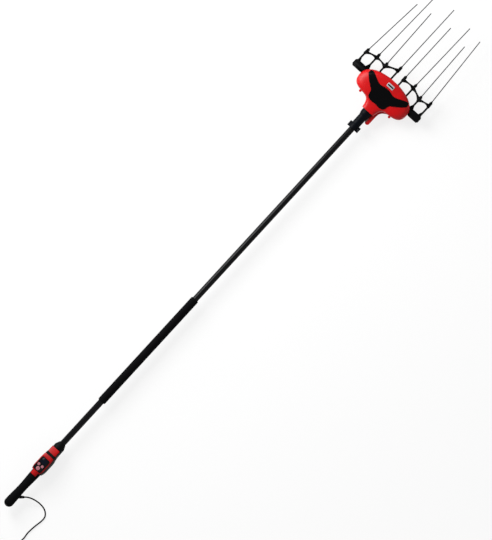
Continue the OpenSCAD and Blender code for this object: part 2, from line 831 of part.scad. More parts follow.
module clamp_collar() {
    outer = neck_sleeve_d / 2 + collar_wall;
    color("#101012") translate([0, s_collar, 0]) difference() {
        union() {
            rotate([-90, 0, 0]) cylinder(r = outer, h = collar_len);
            translate([0, 0, -collar_lug_h]) cube([collar_lug_x, collar_len, 2 * collar_lug_h]);
            translate([-collar_knuckle_x, 0, 0]) rotate([-90, 0, 0])
                cylinder(d = collar_knuckle_d, h = collar_len);
            translate([-collar_knuckle_x, 0, -collar_knuckle_d / 2])
                cube([collar_knuckle_x, collar_len, collar_knuckle_d]);
        }
        translate([0, -over, 0]) rotate([-90, 0, 0]) cylinder(d = neck_sleeve_d, h = collar_len + 2 * over);
        translate([0, -over, -collar_slit / 2])
            cube([collar_lug_x + over, collar_len + 2 * over, collar_slit]);
        translate([collar_screw_x, collar_len / 2, -collar_lug_h - over])
            cylinder(d = collar_screw_d, h = 2 * collar_lug_h + 2 * over);
    }
}

module at_clamp_screw() {
    translate([collar_screw_x, s_collar + collar_len / 2, 0]) children();
}

module clamp_screw() {
    color("#3c3e40") at_clamp_screw() {
        translate([0, 0, -collar_lug_h - collar_head])
            cylinder(d = collar_screw_d - fit_gap, h = 2 * collar_lug_h + collar_head);
        translate([0, 0, collar_lug_h]) cylinder(d = collar_head_d, h = collar_head);
    }
}

module clamp_nut() {
    color("#55585a") at_clamp_screw() translate([0, 0, -collar_lug_h - collar_head]) difference() {
        cylinder(d = collar_head_d, h = collar_head, $fn = 6);
        translate([0, 0, -over]) cylinder(d = collar_screw_d - fit_gap, h = collar_head + 2 * over);
    }
}

module pole_tube() {
    from = s_ferrule - pole_in;
    to = s_neck + neck_seat;
    color("#131315") turned([[pole_d / 2 - pole_wall, from], [pole_d / 2, from], [pole_d / 2, to],
        [pole_d / 2 - pole_wall, to]]);
}

module mid_grip() {
    from = s_pole + mid_grip_from;
    to = from + mid_grip_len;
    soft = (mid_grip_d - pole_d) / 2;
    color("#1b1b1d") turned([[pole_d / 2, from], [pole_d / 2 + soft / 2, from],
        [mid_grip_d / 2, from + soft],
        [mid_grip_d / 2, to - soft], [pole_d / 2 + soft / 2, to], [pole_d / 2, to]]);
}

module inner_cable() {
    color("#26282c") translate([0, s_housing + board_from + board_len + inner_cable_from, -inner_cable_low])
        rotate([-90, 0, 0]) cylinder(d = inner_cable_d,
            h = s_casing + inner_cable_to - s_housing - board_from - board_len - inner_cable_from);
}

// Handle

// Turned from its half profile: round end, waist, front end and the bore on the core
module rear_grip() {
    butt = grip_butt_d / 2;
    front = grip_front_d / 2;
    profile = concat([for (a = [0:15:90]) [butt * sin(a), butt - butt * cos(a)]],
        [for (u = [0:0.125:1]) let (bend = (1 - cos(360 * u)) / 2, base = butt + (front - butt) * u)
            [base - bend * ((butt + front) / 2 - grip_waist_d / 2), butt + (grip_len - butt) * u]],
        [[core_d / 2, grip_len], [core_d / 2, core_from], [0, core_from]]);
    color("#141416") difference() {
        turned(profile);
        gland_hole();
    }
}

function housing_rows(height, column, grow) = [for (r = housing_shares)
    [bulkhead_t + r[0] * (housing_len - bulkhead_t), r[1] * housing_w / 2 + grow,
     r[column] * height + grow]];

module half_disc(d, from, to, up) {
    intersection() {
        translate([0, from, 0]) rotate([-90, 0, 0]) cylinder(d = d, h = to - from);
        translate([-d, from - over, up ? 0 : -d]) cube([2 * d, to - from + 2 * over, d]);
    }
}

module pole_hole() {
    translate([0, housing_len - pole_in - over, 0]) rotate([-90, 0, 0])
        cylinder(d = pole_d, h = pole_in + 2 * over);
}

// The space under the line where the two shells part
module below_part() {
    translate([-housing_w, bulkhead_t, -housing_keel])
        cube([2 * housing_w, housing_len, housing_keel + housing_part]);
}

module at_posts() {
    for (x = [-post_x, post_x]) for (y = [board_from + post_inset, board_from + board_len - post_inset])
        translate([x, y, 0]) children();
}

module at_shell_bosses() {
    for (x = [-shell_boss_x, shell_boss_x]) translate([x, shell_boss_from, 0]) children();
}

panel_top = housing_top + panel_proud;
panel_under = housing_top - panel_low;
pad_top = panel_under - button_gap - button_flange_t - button_travel - button_rest;
board_top = pad_top - pad_t;

module handle_lower_shell() {
    rows = housing_rows(housing_keel, 3, 0);
    high_rows = housing_rows(housing_top, 2, 0);
    color("#121214") difference() {
        on_handle() difference() {
            union() {
                mirror([0, 0, 1]) {
                    arched(rows, inner_rows(rows, housing_wall, housing_wall), housing_keel_round,
                        housing_steps);
                    end_wall(rows[0], housing_wall, housing_keel_round, housing_steps);
                }
                rotate([-90, 0, 0]) cylinder(d = grip_front_d, h = bulkhead_t);
                translate([0, core_from - grip_len, 0]) rotate([-90, 0, 0])
                    cylinder(d = core_d, h = grip_len - core_from);
                half_disc(saddle_d, housing_len - saddle_len, housing_len, false);
                intersection() {
                    union() {
                        arched(high_rows, inner_rows(high_rows, housing_wall, housing_wall),
                            housing_top_round, housing_steps);
                        end_wall(high_rows[0], housing_wall, housing_top_round, housing_steps);
                        half_disc(saddle_d, housing_len - saddle_len, housing_len, true);
                    }
                    below_part();
                }
                at_shell_bosses() cylinder(d = shell_boss_d, h = housing_part);
                at_posts() cylinder(d = post_d, h = board_top - board_t);
                intersection() {
                    mirror([0, 0, 1]) filled(housing_rows(housing_keel, 3, -housing_wall / 2),
                        housing_keel_round, housing_steps);
                    translate([0, 0, -housing_keel]) union() {
                        at_posts() cylinder(d = post_d, h = housing_keel);
                        at_shell_bosses() cylinder(d = shell_boss_d, h = housing_keel);
                    }
                }
            }
            pole_hole();
            translate([0, core_from - grip_len - over, 0]) rotate([-90, 0, 0])
                cylinder(d = core_bore, h = grip_len - core_from + bulkhead_t + housing_wall + 2 * over);
            at_shell_bosses() translate([0, 0, -housing_keel]) {
                cylinder(d = shell_head_d + 2 * fit_gap, h = housing_keel - shell_screw_low);
                cylinder(d = shell_screw_d, h = housing_keel + housing_part + over);
            }
        }
        gland_hole();
    }
}

module panel_outline(grow) {
    offset(r = panel_round + grow) translate([-panel_w / 2 + panel_round, panel_from + panel_round])
        square([panel_w - 2 * panel_round, panel_len - 2 * panel_round]);
}

module handle_upper_shell() {
    rows = housing_rows(housing_top, 2, 0);
    inner_tail = grip_front_d / 2 + fit_gap;
    color("#d8121c") on_handle() difference() {
        union() {
            arched(rows, inner_rows(rows, housing_wall, housing_wall), housing_top_round, housing_steps);
            end_wall(rows[0], housing_wall, housing_top_round, housing_steps);
            translate([0, bulkhead_t + over, 0]) rotate([90, 0, 0]) rotate([0, 0, 90 - tail_turn / 2])
                rotate_extrude(angle = tail_turn) translate([inner_tail, 0])
                    square([tail_t, tail_len + over]);
            half_disc(saddle_d, housing_len - saddle_len, housing_len, true);
            at_shell_bosses() cylinder(d = shell_boss_d, h = shell_screw_up + over);
        }
        below_part();
        pole_hole();
        translate([0, -over, 0]) rotate([-90, 0, 0])
            cylinder(d = core_bore, h = bulkhead_t + housing_wall + 2 * over);
        translate([0, 0, board_top]) linear_extrude(housing_top) panel_outline(fit_gap);
        at_shell_bosses() translate([0, 0, -over]) cylinder(d = shell_screw_d, h = shell_screw_up + over);
    }
}

module handle_screws() {
    color("#303234") on_handle() at_shell_bosses() {
        translate([0, 0, -shell_screw_low])
            cylinder(d = shell_screw_d - fit_gap, h = shell_screw_low + shell_screw_up - fit_gap);
        translate([0, 0, -shell_screw_low - shell_head]) cylinder(d = shell_head_d, h = shell_head);
    }
}

module seal_band() {
    color("#0e0e10") on_handle() intersection() {
        arched(housing_rows(housing_top, 2, band_t), housing_rows(housing_top, 2, 0), housing_top_round,
            housing_steps);
        translate([-housing_w, band_from, over]) cube([2 * housing_w, band_len, 2 * housing_top]);
    }
}

module front_ferrule() {
    color("#111113") turned([[pole_d / 2, s_ferrule], [ferrule_d / 2, s_ferrule],
        [ferrule_d / 2, s_ferrule + ferrule_flat],
        [ferrule_tip_d / 2, s_pole], [pole_d / 2, s_pole]]);
}

module at_window() {
    translate([-window_w / 2, panel_from + panel_len - window_margin - window_len, panel_top - window_t])
        children();
}

button_places = [[0, big_button_from + panel_from], [-small_button_x, small_button_from + panel_from],
    [small_button_x, small_button_from + panel_from]];
button_sizes = [big_button_d, small_button_d, small_button_d];

module at_button(i) {
    translate([button_places[i][0], button_places[i][1], 0]) children();
}

module control_panel() {
    color("#0f1012") on_handle() difference() {
        translate([0, 0, panel_under]) linear_extrude(panel_top - panel_under) panel_outline(0);
        at_window() cube([window_w, window_len, window_t + over]);
        for (i = [0:len(button_places) - 1]) at_button(i) translate([0, 0, panel_under - over])
            cylinder(d = button_sizes[i] + 2 * button_hole, h = panel_top - panel_under + 2 * over);
    }
}

module display_window() {
    color("#10182c") on_handle() at_window() translate([fit_gap, fit_gap, 0])
        cube([window_w - 2 * fit_gap, window_len - 2 * fit_gap, window_t]);
}

module push_button(i) {
    color("#e2b9bd") on_handle() at_button(i) translate([0, 0, panel_under - button_gap]) {
        translate([0, 0, -button_flange_t])
            cylinder(d = button_sizes[i] + 2 * button_flange, h = button_flange_t);
        cylinder(d = button_sizes[i], h = button_gap + panel_top - panel_under + button_proud);
    }
}

module button_pad() {
    color("#3a3c40") on_handle() translate([-pad_w / 2, board_from, board_top])
        cube([pad_w, pad_len, pad_t]);
}

module circuit_board() {
    color("#1d5c34") on_handle() translate([-board_w / 2, board_from, board_top - board_t])
        cube([board_w, board_len, board_t]);
}

// Lead

module along_gland() {
    d = unit(gland_dir);
    translate(gland_from) rotate([0, acos(d[2]), atan2(d[1], d[0])]) children();
}

module gland_hole() {
    along_gland() translate([0, 0, -over]) cylinder(d = gland_d, h = gland_len);
}

module cable_gland() {
    color("#101012") along_gland() difference() {
        union() {
            cylinder(d = gland_d - 2 * fit_gap, h = gland_head);
            translate([0, 0, gland_head])
                cylinder(d1 = gland_d - 2 * fit_gap, d2 = gland_tip_d, h = gland_len - gland_head);
        }
        translate([0, 0, gland_len - lead_d]) cylinder(d = lead_d + fit_gap, h = lead_d + over);
    }
}

gland_tip = gland_from + [0, 0, belly_d] + (gland_len - lead_d) * unit(gland_dir);
lead_path = concat([gland_tip, gland_tip + (lead_d + over) * unit(gland_dir)], lead_points);
lead_ways = headings(lead_path);
lead_headings = [for (i = [0:len(lead_path) - 1])
    i < 2 ? unit(gland_dir) : i == len(lead_path) - 1 ? [0, -1, 0] : lead_ways[i]];

module power_cord() {
    color("#161618") translate([0, -mid_s, 0]) tube_along(lead_path, lead_r, lead_sides, lead_headings);
}

// The coil spirals in on the floor, climbs and spirals out again above
coil_steps = coil_turns * coil_rings;
function coil_r(u) = coil_out_r - coil_pitch * min(u, coil_turns - u);
function coil_z(u) =
    let (f = min(max((u - coil_turns / 2 + coil_climb / 2) / coil_climb, 0), 1))
    coil_low + coil_pitch * (1 - cos(180 * f)) / 2;
function coil_point(u) = [coil_at[0] + coil_r(u) * cos(180 + 360 * u),
    coil_at[1] + coil_r(u) * sin(180 + 360 * u), coil_z(u)];
coil_path = concat([for (k = [0:coil_steps]) coil_point(k / coil_rings)],
    [coil_point(coil_turns) + [0, -coil_tail, 0]]);
coil_ways = headings(coil_path);
coil_headings = [for (i = [0:len(coil_path) - 1])
    i == 0 || i >= len(coil_path) - 2 ? [0, -1, 0] : coil_ways[i]];
// Least distance between turns, taken on points more than half a turn apart
coil_gap = min([for (i = [0:coil_steps]) for (j = [i + coil_rings / 2:coil_steps])
    norm(coil_path[i] - coil_path[j])]) - lead_d;
echo(coil_gap = coil_gap);

module cord_coil() {
    color("#161618") translate([0, -mid_s, 0]) tube_along(coil_path, lead_r, coil_sides, coil_headings);
}

// The tie goes round all turns on the far side of the coil
module coil_tie() {
    wide = coil_pitch * coil_turns / 2 + lead_d + coil_pitch / 2;
    high = coil_pitch + lead_d + 2 * fit_gap;
    low = coil_low - lead_r - fit_gap;
    color("#2a2c30") translate([coil_at[0] + coil_mid_r, coil_at[1] - mid_s - tie_w / 2, low])
        difference() {
            translate([-wide / 2 - tie_t, 0, -tie_t]) cube([wide + 2 * tie_t, tie_w, high + 2 * tie_t]);
            translate([-wide / 2, -over, 0]) cube([wide, tie_w + 2 * over, high]);
        }
}

module cord_plug() {
    p = coil_path[len(coil_path) - 1];
    color("#1c1d20") translate(p + [0, -mid_s, 0]) rotate([90, 0, 0]) rotate_extrude()
        polygon([[0, 0], [plug_neck_d / 2, 0], [plug_d / 2, plug_neck], [plug_d / 2, plug_len - plug_nose],
            [plug_nose_d / 2, plug_len - plug_nose], [plug_nose_d / 2, plug_len], [0, plug_len]]);
}

// Nodes

lay() head_upper_casing();
lay() head_lower_casing();
lay() head_trim();
lay() casing_screws();
lay() gear_frame();
lay() rake_axle();
lay() crank_bearings();
lay() drive_motor();
lay() motor_screws();
lay() crankshaft();
lay() crank_gear();
lay() crank_rollers();
lay() motor_pinion();
lay() head_socket();
lay() clamp_collar();
lay() clamp_screw();
lay() clamp_nut();
lay() pole_tube();
lay() mid_grip();
lay() inner_cable();
lay() rear_grip();
lay() handle_lower_shell();
lay() handle_upper_shell();
lay() seal_band();
lay() front_ferrule();
lay() control_panel();
lay() display_window();
lay() push_button(0);  // power_button
lay() push_button(1);  // speed_up_button
lay() push_button(2);  // speed_down_button
lay() button_pad();
lay() circuit_board();
lay() handle_screws();
lay() cable_gland();
power_cord();
cord_coil();
coil_tie();
cord_plug();
for (side = side_names) {
    lay() on_side(side) rake_half(side);
    lay() on_side(side) yoke_half();
    lay() on_side(side) bushes_half();
    lay() on_side(side) grommets_half(side);
    for (i = [1:rib_count])
        lay() on_side(side) tine_half(side, i - 1);
}
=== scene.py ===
"""Dresses the electric olive harvester: finishes, soft grips, supply lead and a plain stage."""

import math

import bpy
from bpy.props import FloatProperty, FloatVectorProperty, IntProperty, PointerProperty
from bpy.types import Operator, Panel, PropertyGroup
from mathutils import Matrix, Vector


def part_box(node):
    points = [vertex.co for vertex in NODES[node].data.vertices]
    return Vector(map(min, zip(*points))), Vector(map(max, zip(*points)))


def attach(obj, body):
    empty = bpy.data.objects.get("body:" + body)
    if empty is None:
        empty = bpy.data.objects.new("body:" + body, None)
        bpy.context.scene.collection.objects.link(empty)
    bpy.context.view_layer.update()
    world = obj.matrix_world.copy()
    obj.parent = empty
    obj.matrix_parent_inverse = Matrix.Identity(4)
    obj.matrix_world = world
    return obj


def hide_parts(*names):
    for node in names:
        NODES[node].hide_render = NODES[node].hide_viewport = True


bl_info = {
    "name": "Olive Harvester Dresser",
    "version": (1, 0, 0),
    "blender": (4, 5, 0),
    "location": "View3D > Sidebar > Harvester",
    "description": "Finishes, grips, lead and stage for an electric olive harvester",
    "category": "Object",
}

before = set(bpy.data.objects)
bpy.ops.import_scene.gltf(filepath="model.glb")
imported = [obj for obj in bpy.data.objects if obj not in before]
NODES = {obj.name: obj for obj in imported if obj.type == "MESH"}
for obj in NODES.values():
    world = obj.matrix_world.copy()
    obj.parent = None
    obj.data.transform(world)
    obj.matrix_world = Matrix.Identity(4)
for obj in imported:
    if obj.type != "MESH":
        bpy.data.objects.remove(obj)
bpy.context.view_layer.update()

MM = 0.001
POLE_LOW, POLE_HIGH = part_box("pole_tube")
AXIS_Z = (POLE_LOW.z + POLE_HIGH.z) / 2
POLE_R = (POLE_HIGH.z - POLE_LOW.z) / 2
BUTT_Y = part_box("rear_grip")[0].y
TOOL = "tool"
SIDES = ("left", "right")

# The lead's route in millimetres: across, along from the round end of the grip, above the floor
GLAND_FROM = (4.4, 52, 0)
GLAND_WAY = Vector((0.74, 0.64, -0.21)).normalized()
GLAND_LENGTH = 38
LEAD_POINTS = (
    (37, 80.5, 35.7), (45, 86, 33), (57, 91.5, 27.5), (73, 96, 20), (92, 98.5, 11.5),
    (110, 98, 5.2), (126, 94, 3.4), (139, 86, 3.2), (148, 75, 3.2), (151, 62, 3.2),
    (150, 45, 3.2), (146, 22, 3.2), (143, -3, 3.2), (142, -25, 3.2), (144.5, -48, 3.3),
    (143, -70, 3.8), (138.6, -90, 4.2), (136.2, -106, 4.4), (136.1, -112, 4.4))
LEAD_STEPS = 5
COIL_AT = (179.15, -112)
COIL_LOW = 4.4
COIL_TURNS = 6
COIL_PITCH = 6.7
COIL_MID_R = 33
COIL_CLIMB = 0.5
COIL_SIDES = 48
COIL_TAIL = 34
TAIL_STEPS = 4

# Strap round the coil
STRAP_CORNER = 4.5 * MM
STRAP_THICKNESS = 1.1 * MM
STRAP_ROUNDING = 0.35 * MM

# Edges of the trim, as shares of the casing's half width and of its length
TRIM_REAR = (
    (0, 0.262), (0.15, 0.25), (0.25, 0.262), (0.315, 0.292), (0.35, 0.345), (0.365, 0.4),
    (0.396, 0.458), (0.48, 0.505), (0.587, 0.566), (0.7, 0.64), (0.82, 0.732))
TRIM_FRONT = (
    (0, 0.746), (0.12, 0.737), (0.22, 0.714), (0.3, 0.712), (0.42, 0.738), (0.55, 0.785),
    (0.66, 0.825), (0.74, 0.843), (0.78, 0.838), (0.807, 0.82), (0.82, 0.792))
TRIM_COLUMNS, TRIM_ROWS = 120, 10
# Share of the cubic term that crowds the columns towards the tips
TRIM_CROWDING = 0.2
TRIM_PROUD = 1.6 * MM
TRIM_THICKNESS = 2.4 * MM
TRIM_ROUNDING = 0.4 * MM
TRIM_EVENING = 16

# Sides of the web at the rear lug, in millimetres: along from the casing's rear, then across
WEB_INNER = (
    (0, 29), (14.7, 31), (24.5, 34), (32.6, 37.8), (39.1, 44.7), (42.9, 54), (44.6, 62))
WEB_OUTER = ((0, 39.5), (10, 39.9), (20, 41.5), (28, 45), (35, 51), (40.5, 59), (44.6, 66))
WEB_COLUMNS, WEB_ROWS = 4, 32
WEB_LIFT = 0.4 * MM
WEB_DEPTH = 16 * MM
WEB_ROUNDING = 1 * MM

# Bare plate: the field's width and depth are shares of the plate's
PLATE_THICKNESS = 0.8 * MM
FIELD_THICKNESS = 1.1 * MM
FIELD_SHARES = (0.88, 0.36)
PLATE_CORNER = 2 * MM
PLATE_GAP = 0.1 * MM
PLATE_ROUNDING = 0.25 * MM

# Sheets are laid on the casing from this height above it
DROP = 50 * MM
# Edges of a sheet that are sharper than this are rounded
RIM_ANGLE = math.radians(50)

# Vertices nearer than this are one: in the solids, and in turned pieces
SOLID_WELD = 0.002 * MM
RING_WELD = 0.005 * MM

# Edges sharper than this aren't shaded smooth: on most pieces, and on the grips
SHARP_DEGREES = 38
GRIP_SHARP_DEGREES = 50

# Sockets of a colour mix: its factor, its two tones and what comes out
FACTOR, TONE_A, TONE_B, MIXED = 0, 6, 7, 2

# Stage: light of the sky, its look to the camera, and how far the floor is plain white
SKY_LIGHT, SKY_SEEN = 0.3, 1.0
FLOOR_WHITE = 0.8
FLOOR_SIZE = 30
FLOOR_Z = -0.3 * MM
SENSOR_MM = 36
# Lamps: name, place from the middle of the view, size in metres and watts
LAMPS = (
    ("Key lamp", (-3.4, 0.3, 2.8), 2.2, 212), ("Fill lamp", (3.4, -1.2, 2.6), 3.0, 14),
    ("Front lamp", (0.4, 3.6, 2.2), 2.0, 20), ("Low lamp", (-3.0, 0.2, 0.9), 2.0, 70))


def srgb(hex_colour):
    """Linear colour with full alpha from a hex string such as #c8141c."""
    channels = [int(hex_colour[i:i + 2], 16) / 255 for i in (1, 3, 5)]
    return (*[c / 12.92 if c <= 0.04045 else ((c + 0.055) / 1.055) ** 2.4 for c in channels], 1.0)


def colour(name, words, hex_colour):
    return FloatVectorProperty(name=name, description=words, subtype="COLOR", size=4, min=0, max=1,
        default=srgb(hex_colour))


def length(name, words, metres):
    return FloatProperty(
        name=name, description=words, unit="LENGTH", subtype="DISTANCE", default=metres)


class HarvesterSizes(PropertyGroup):
    """Sizes of the pieces that are modelled here, and of the edges"""

    lead_d: length("Lead diameter", "Diameter of the supply lead's jacket", 6 * MM)
    moulded_edge: length("Moulded edge", "Rounding of edges on the casings", 1.0 * MM)
    cap_edge: length("Cap edge", "Rounding of the handle's red rim", 0.5 * MM)
    plug_edge: length("Plug edge", "Rounding of the connector's edges", 0.8 * MM)
    gland_edge: length("Gland edge", "Rounding of the cable gland's edges", 0.6 * MM)
    grommet_edge: length("Grommet edge", "Rounding of the tines' grommets", 0.4 * MM)
    seal_edge: length("Seal edge", "Rounding of the seal band and the button pad", 0.2 * MM)
    metal_edge: length("Metal edge", "Rounding of edges on metal pieces", 0.3 * MM)
    button_edge: length("Button edge", "Rounding of the buttons' tops", 1.1 * MM)
    plate_width: length("Plate width", "Width of the bare plate on the head", 33 * MM)
    plate_depth: length("Plate depth", "Depth of the bare plate on the head", 17 * MM)
    plate_along: length(
        "Plate along", "Middle of the bare plate from the tool's round end", 2326 * MM)
    photo_height: length("View height", "Height of the camera's view at the pole", 2208.6 * MM)
    camera_height: length("Camera height", "Height of the camera above the pole", 50.0)
    view_x: length("View across", "Middle of the view across the tool", 72.0 * MM)
    view_along: length(
        "View along", "Middle of the view along the tool from its round end", 1374 * MM)
    view_turn: FloatProperty(
        name="View turn", description="Turn of the camera about the vertical", subtype="ANGLE",
        default=math.radians(42.56))
    ring_sides: IntProperty(name="Ring sides", description="Sides of turned pieces", default=64)


class HarvesterColours(PropertyGroup):
    """Colours of the finishes"""

    red: colour("Red", "Moulded red of the casings", "#b80408")
    red_light: colour("Light red", "Red where the moulding is thin or worn", "#c0161d")
    # The handle's red is the casings' red made darker: painted shade
    shaded_red: colour("Deep red", "Casing red darkened as painted shade on the handle", "#a00408")
    black_gloss: colour("Gloss black", "Trim on the head", "#040405")
    black: colour("Black", "Moulded black parts", "#050506")
    black_light: colour("Grey black", "Rubbed edges of black parts", "#121214")
    neck: colour("Neck", "Neck and its clamp", "#05070d")
    pole: colour("Pole", "Coated pole", "#070709")
    foam: colour("Foam", "Soft grips", "#060607")
    button: colour("Button", "Push buttons", "#93545e")
    button_light: colour("Light button", "Push buttons where fingers rub them", "#b27880")
    window: colour("Window", "Display window", "#050914")
    carbon: colour("Carbon", "Tines", "#2e2e32")
    steel: colour("Steel", "Bright steel", "#b8babd")
    dark_steel: colour("Dark steel", "Blackened screws", "#26272a")
    cast: colour("Casting", "Cast aluminium", "#a4a6aa")
    bronze: colour("Bronze", "Sintered bushes", "#a67c46")
    board: colour("Board", "Circuit board", "#1b5a33")
    jacket: colour("Jacket", "Lead's jacket", "#070708")
    strap: colour("Strap", "Woven strap", "#1a1a1d")
    floor: colour("Floor", "Studio floor", "#f4f4f4")


def sizes():
    return bpy.context.scene.harvester_sizes


def colours():
    return bpy.context.scene.harvester_colours


# Materials


def add(tree, kind, inputs=None, **settings):
    """Adds a node with its settings; a socket takes a constant or a link to another node."""
    node = tree.nodes.new(kind)
    for key, value in settings.items():
        setattr(node, key, value)
    for key, value in (inputs or {}).items():
        if isinstance(value, bpy.types.NodeSocket):
            tree.links.new(value, node.inputs[key])
        else:
            node.inputs[key].default_value = value
    return node


def socket(shader, key):
    """The shader's input whose name is given in small letters, with underscores for spaces."""
    return shader.inputs[key.replace("_", " ").title().replace("Ior", "IOR")]


def start(name, **constants):
    """A new material, its tree, its shader with constants set, and the object's coordinates."""
    material = bpy.data.materials.new(name)
    material.use_nodes = True
    tree = material.node_tree
    shader = tree.nodes["Principled BSDF"]
    for key, value in constants.items():
        socket(shader, key).default_value = value
    return material, tree, shader, add(tree, "ShaderNodeTexCoord").outputs["Object"]


def connect(tree, shader, **outputs):
    """Links outputs to the shader's inputs of those names."""
    for key, output in outputs.items():
        tree.links.new(output, socket(shader, key))


def darker(tone, share):
    return (*[c * share for c in tone[:3]], 1.0)


def moulded(name, tone, worn, gloss, grain, depth, **constants):
    """A moulding: two close tones, uneven gloss, a fine tool grain and edges rubbed by use."""
    material, tree, shader, place = start(name, **constants)
    cloud = add(tree, "ShaderNodeTexNoise", {"Vector": place, "Scale": 1 / (60 * MM)})
    depth_of_tone = add(tree, "ShaderNodeMapRange", {
        "Value": cloud.outputs["Fac"], "From Min": 0.35, "From Max": 0.65})
    base = add(tree, "ShaderNodeMix", {
        FACTOR: depth_of_tone.outputs["Result"], TONE_A: darker(tone, 0.86), TONE_B: tone},
        data_type="RGBA")
    shape = add(tree, "ShaderNodeNewGeometry")
    edge = add(tree, "ShaderNodeMapRange", {
        "Value": shape.outputs["Pointiness"], "From Min": 0.53, "From Max": 0.64, "To Max": 0.45})
    rubbed = add(tree, "ShaderNodeMix", {
        FACTOR: edge.outputs["Result"], TONE_A: base.outputs[MIXED], TONE_B: worn},
        data_type="RGBA")
    patch = add(tree, "ShaderNodeTexNoise", {"Vector": place, "Scale": 1 / (9 * MM), "Detail": 3.0})
    sheen = add(tree, "ShaderNodeMapRange", {
        "Value": patch.outputs["Fac"], "From Min": 0.3, "From Max": 0.7,
        "To Min": gloss[0], "To Max": gloss[1]})
    pits = add(tree, "ShaderNodeTexNoise", {"Vector": place, "Scale": 1 / grain})
    skin = add(tree, "ShaderNodeBump", {"Height": pits.outputs["Fac"], "Distance": depth})
    connect(tree, shader, base_color=rubbed.outputs[MIXED], roughness=sheen.outputs["Result"],
        normal=skin.outputs["Normal"])
    return material


def red_moulding():
    # Injection-moulded ABS: even bright red with a soft gloss, paler where twigs rub its edges
    c = colours()
    return moulded("Red moulded ABS", c.red, c.red_light, (0.34, 0.44), 0.9 * MM, 0.012 * MM,
        ior=1.53, specular_ior_level=0.16)


def shaded_handle_moulding():
    # Injection-moulded ABS of the handle: the casings' red darkened as painted shade, with the same
    # soft gloss
    c = colours()
    return moulded("Red moulded ABS with painted shade", c.shaded_red, c.red, (0.34, 0.44), 0.9 * MM, 0.012 * MM,
        ior=1.53, specular_ior_level=0.12)


def black_trim():
    # Polished ABS trim: near black with clear soft reflections
    c = colours()
    return moulded("Polished black ABS", c.black_gloss, c.black_light, (0.2, 0.32), 1.2 * MM,
        0.008 * MM, ior=1.53, specular_ior_level=0.03)


def black_moulding():
    # Glass-filled nylon from a sparked mould: black, satin, greyer on rubbed edges
    c = colours()
    return moulded("Moulded black nylon", c.black, c.black_light, (0.4, 0.56), 0.5 * MM, 0.03 * MM,
        ior=1.53, specular_ior_level=0.035)


def neck_moulding():
    # Moulded nylon with a blue-black pigment: smoother than the rakes
    c = colours()
    return moulded("Moulded blue-black nylon", c.neck, c.black_light, (0.32, 0.46), 0.6 * MM,
        0.02 * MM, ior=1.53, specular_ior_level=0.03)


def soft_rubber():
    # Moulded nitrile rubber: dull black with a soft bloom
    c = colours()
    return moulded("Moulded nitrile rubber", c.black, c.black_light, (0.6, 0.75), 0.8 * MM,
        0.03 * MM, ior=1.52, specular_ior_level=0.06)


def button_rubber():
    # Moulded silicone: pale, slightly translucent and dull
    c = colours()
    return moulded("Moulded silicone rubber", c.button, c.button_light, (0.45, 0.6), 0.6 * MM,
        0.01 * MM, ior=1.41, subsurface_weight=0.1, subsurface_scale=1.5 * MM)


def circuit_mask():
    # Solder mask over copper: green with slightly raised tracks
    c = colours()
    return moulded("Solder mask on laminate", c.board, c.steel, (0.3, 0.4), 2.5 * MM, 0.02 * MM,
        ior=1.5)


def lead_jacket():
    # Extruded PVC: satin black with faint drawn marks
    c = colours()
    return moulded("Extruded PVC jacket", c.jacket, c.black_light, (0.42, 0.58), 0.7 * MM,
        0.015 * MM, ior=1.53, specular_ior_level=0.06)


def foam():
    # Closed-cell EVA foam: dull black with pebbled cells, drawn 1.6 mm wide so that they show
    c = colours()
    material, tree, shader, place = start("Closed-cell foam", roughness=0.82, ior=1.48,
        specular_ior_level=0.035)
    cells = add(tree, "ShaderNodeTexVoronoi", {"Vector": place, "Scale": 1 / (1.6 * MM)})
    cloud = add(tree, "ShaderNodeTexNoise", {
        "Vector": place, "Scale": 1 / (25 * MM), "Detail": 4.0})
    base = add(tree, "ShaderNodeMix", {
        FACTOR: cloud.outputs["Fac"], TONE_A: darker(c.foam, 0.7), TONE_B: darker(c.foam, 1.6)},
        data_type="RGBA")
    skin = add(tree, "ShaderNodeBump", {"Height": cells.outputs["Distance"], "Distance": 0.12 * MM})
    connect(tree, shader, base_color=base.outputs[MIXED], normal=skin.outputs["Normal"])
    return material


def drawn(name, tone, gloss, stretch, width, depth, **constants):
    """A surface with fine lines: two tones, gloss and height all follow the lines."""
    material, tree, shader, place = start(name, **constants)
    along = add(tree, "ShaderNodeMapping", {"Vector": place, "Scale": stretch})
    lines = add(tree, "ShaderNodeTexNoise", {
        "Vector": along.outputs["Vector"], "Scale": 1 / width, "Detail": 4.0})
    share = add(tree, "ShaderNodeMapRange", {
        "Value": lines.outputs["Fac"], "From Min": 0.3, "From Max": 0.7})
    base = add(tree, "ShaderNodeMix", {
        FACTOR: share.outputs["Result"], TONE_A: darker(tone, 0.75), TONE_B: tone},
        data_type="RGBA")
    sheen = add(tree, "ShaderNodeMapRange", {
        "Value": share.outputs["Result"], "To Min": gloss[0], "To Max": gloss[1]})
    skin = add(tree, "ShaderNodeBump", {"Height": lines.outputs["Fac"], "Distance": depth})
    connect(tree, shader, base_color=base.outputs[MIXED], roughness=sheen.outputs["Result"],
        normal=skin.outputs["Normal"])
    return material


def pole_coat():
    # Gloss powder coat on drawn tube: black, with a bright strip along it under soft light
    return drawn("Black coated tube", colours().pole, (0.2, 0.27), (1, 0.02, 1), 1.5 * MM,
        0.004 * MM, ior=1.52, specular_ior_level=0.07)


def carbon_rod():
    # Pultruded carbon fibre: long dark and grey fibres under a thin resin skin
    return drawn("Pultruded carbon rod", colours().carbon, (0.3, 0.45), (1, 0.01, 1), 0.5 * MM,
        0.01 * MM, ior=1.55, specular_ior_level=0.3)


def bright_steel():
    # Ground steel: bright, with fine lines round the shafts
    return drawn("Ground steel", colours().steel, (0.18, 0.32), (0.03, 1, 1), 0.4 * MM, 0.004 * MM,
        metallic=1.0)


